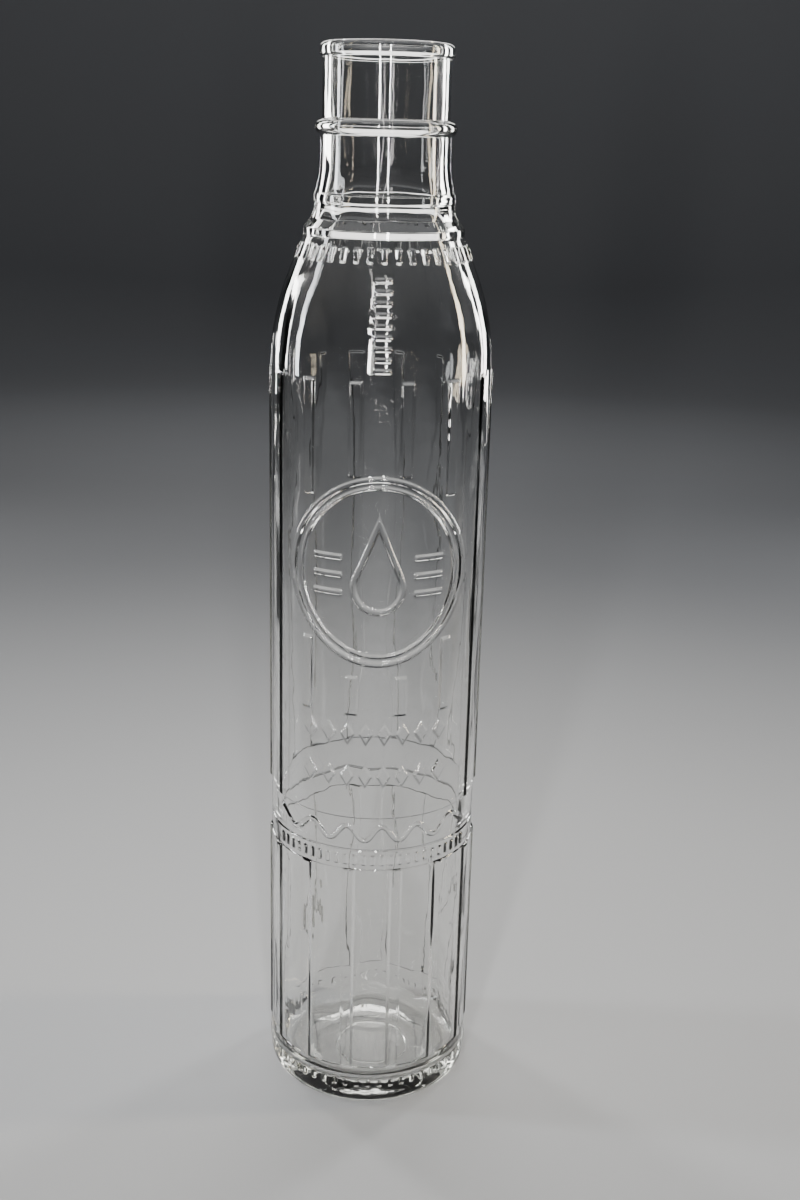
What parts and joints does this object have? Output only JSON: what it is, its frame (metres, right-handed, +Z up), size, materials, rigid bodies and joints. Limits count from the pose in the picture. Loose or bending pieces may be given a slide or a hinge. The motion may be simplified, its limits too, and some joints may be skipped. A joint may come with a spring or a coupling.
{
  "type": "fluted glass motor oil bottle",
  "caption": "Tall clear glass bottle with a ribbed barrel, a plain waist band, a stepped neck, a rolled lip and a raised oval drop emblem. It is empty and open at the top.",
  "frame": {"origin": "centre of the surface that the bottle stands on", "axes": "+Z up along the bottle's axis, the emblem's side faces -Y"},
  "size_m": [0.075, 0.0749, 0.368],
  "materials": {
    "glass": "clear pressed and blown soda-lime glass, fire-polished, with a slightly wavy surface"
  },
  "bodies": {
    "root": {"base": "glass", "heel": "glass", "lower_barrel": "glass", "waist_band": "glass", "upper_barrel": "glass", "shoulder": "glass", "neck": "glass", "finish": "glass", "neck_steps": "glass", "neck_bead": "glass", "lip_bead": "glass", "lower_ribs": "glass", "front_ribs": "glass", "upper_ribs": "glass", "emblem_border": "glass", "emblem_drop": "glass", "emblem_bars": "glass", "shoulder_ticks": "glass", "level_marks": "glass", "panel_lozenges": "glass", "waist_wave": "glass", "waist_ticks": "glass", "heel_ticks": "glass", "mould_seams": "glass", "base_scar": "glass"}
  },
  "joints": []
}
